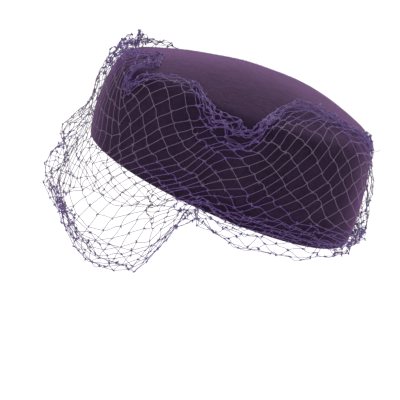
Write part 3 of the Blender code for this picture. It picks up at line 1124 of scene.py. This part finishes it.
def knot_tree():
    """One small shape on every point, turned and sized at random."""
    tree, wires = new_tree("tie knots", {"Knot": "NodeSocketObject", "Smallest": "NodeSocketFloat",
                                         "Largest": "NodeSocketFloat", "Swell": "NodeSocketFloat",
                                         "Seed": "NodeSocketInt", "Material": "NodeSocketMaterial"})
    start = wires["Geometry"]
    turn = start.node("FunctionNodeRandomValue", {"data_type": "FLOAT_VECTOR"}, i1=(FULL_TURN,) * 3,
                      Seed=wires["Seed"])
    size = random_between(start, wires["Smallest"], wires["Largest"], wires["Seed"])
    bunched = start.node("GeometryNodeInputNamedAttribute", {"data_type": "FLOAT"}, Name="bunched")
    size = size * (bunched * wires["Swell"] + 1.0)
    placed = start.node("GeometryNodeInstanceOnPoints", Points=start, Rotation=turn, Scale=size,
                        Instance=shape_of(start, wires["Knot"]))
    return close_tree(tree, placed, wires["Material"])

# %% [markdown]
# ### What the thread looks like
#
# One dyed thread looks grey where it lies single, because light passes round it, and violet
# where many lie together. Each point already knows how bunched the net is there, so the colour
# follows that attribute, which a pattern in space couldn't do.

# %% Net finish
THREAD_GREY = (0.175, 0.117, 0.210, 1.0)
THREAD_VIOLET = (0.148, 0.062, 0.295, 1.0)


def net_finish():
    """Dyed thread: greyer where it lies single, bluer where it is bunched."""
    material, shader, wire = new_finish("violet netting", 0.62, sheen=0.4, sheen_roughness=0.5,
                                        sheen_tint=(0.80, 0.72, 1.0))
    bunched = wire.node("ShaderNodeAttribute", {"attribute_name": "bunched"}, output=2)
    feed(bunched.between(0.05, 0.9).mix(THREAD_GREY, THREAD_VIOLET), shader, "Base Color")
    return material


net_material = net_finish()
print("net finish:", net_material.name)

# %% [markdown]
# ### Spinning and tying
#
# A net knot is a few turns of thread pulled tight, so a lumpy bead is enough at this size, and
# thin spikes give it its fuzz. Threads and knots stay two pieces, so each keeps a simple mesh.

# %% Spin the threads and tie the knots
KNOT_RADIUS = 0.60 * MM
KNOT_SEGMENTS = 7
KNOT_RINGS = 5
KNOT_LUMPS = (0.72, 1.15)
KNOT_FLATNESS = 0.8
KNOT_SIZES = {"Smallest": 0.85, "Largest": 1.20, "Swell": 0.30}
FUZZ_HAIRS = 6
FUZZ_LENGTH = 1.75 * MM
FUZZ_RADIUS = 0.18 * MM
FUZZ_RANGE = (0.7, 1.2)
FUZZ_LEAN = 0.3
THREAD_SIDES = 5


def bunched_base(name, points, bunched, edges=()):
    """Points and edges to grow on, with how densely the net is gathered at each point."""
    base = mesh_object(name, points, edges=edges)
    layer = base.data.attributes.new("bunched", "FLOAT", "POINT")
    layer.data.foreach_set("value", bunched.astype(np.float32).ravel())
    return base


def chain_edges(count, points):
    """Edges along every chain of so many points."""
    order = np.arange(count * points).reshape(count, points)
    return np.stack([order[:, :-1].ravel(), order[:, 1:].ravel()], 1).tolist()


def knot_shape():
    """Lumpy wrapped bead with a few fuzz hairs."""
    chance = np.random.default_rng(NET_SEED)
    work = bmesh.new()
    bmesh.ops.create_uvsphere(work, u_segments=KNOT_SEGMENTS, v_segments=KNOT_RINGS, radius=KNOT_RADIUS)
    for vertex in work.verts:
        vertex.co *= chance.uniform(*KNOT_LUMPS)
        vertex.co.z *= KNOT_FLATNESS
    for _ in range(FUZZ_HAIRS):
        direction = Vector(chance.normal(size=3)).normalized()
        lean = Vector(chance.normal(size=3)).cross(direction).normalized()
        other = direction.cross(lean)
        reach = FUZZ_LENGTH * chance.uniform(*FUZZ_RANGE)
        tip = work.verts.new(direction * reach + lean * FUZZ_LEAN * FUZZ_LENGTH)
        foot = [work.verts.new(direction * KNOT_RADIUS * 0.5
                               + (lean * cos(turn) + other * sin(turn)) * FUZZ_RADIUS)
                for turn in THREE_WAYS]
        for k in range(3):
            work.faces.new((foot[k], foot[(k + 1) % 3], tip))
        work.faces.new((foot[2], foot[1], foot[0]))
    bmesh.ops.recalc_face_normals(work, faces=work.faces)
    return object_from(work, "knot_shape")


along_threads = np.repeat(thread_bunched[:, None], THREAD_STEPS + 1, 1)
base = bunched_base("thread_chains", flat_chains, along_threads, chain_edges(*chains.shape[:2]))
veil_threads = grow("veil_threads", base, thread_tree(),
                    {"Radius": THREAD_RADIUS, "Sides": THREAD_SIDES, "Material": net_material})

base = bunched_base("knot_places", knots, bunched)
shape = knot_shape()
veil_knots = grow("veil_knots", base, knot_tree(),
                  {"Knot": shape, **KNOT_SIZES, "Seed": 3, "Material": net_material})
bpy.data.objects.remove(shape, do_unlink=True)

for piece in (veil_threads, veil_knots):
    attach(piece, "root")
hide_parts("veil_net")
print("thread faces:", len(veil_threads.data.polygons), "knot faces:", len(veil_knots.data.polygons))
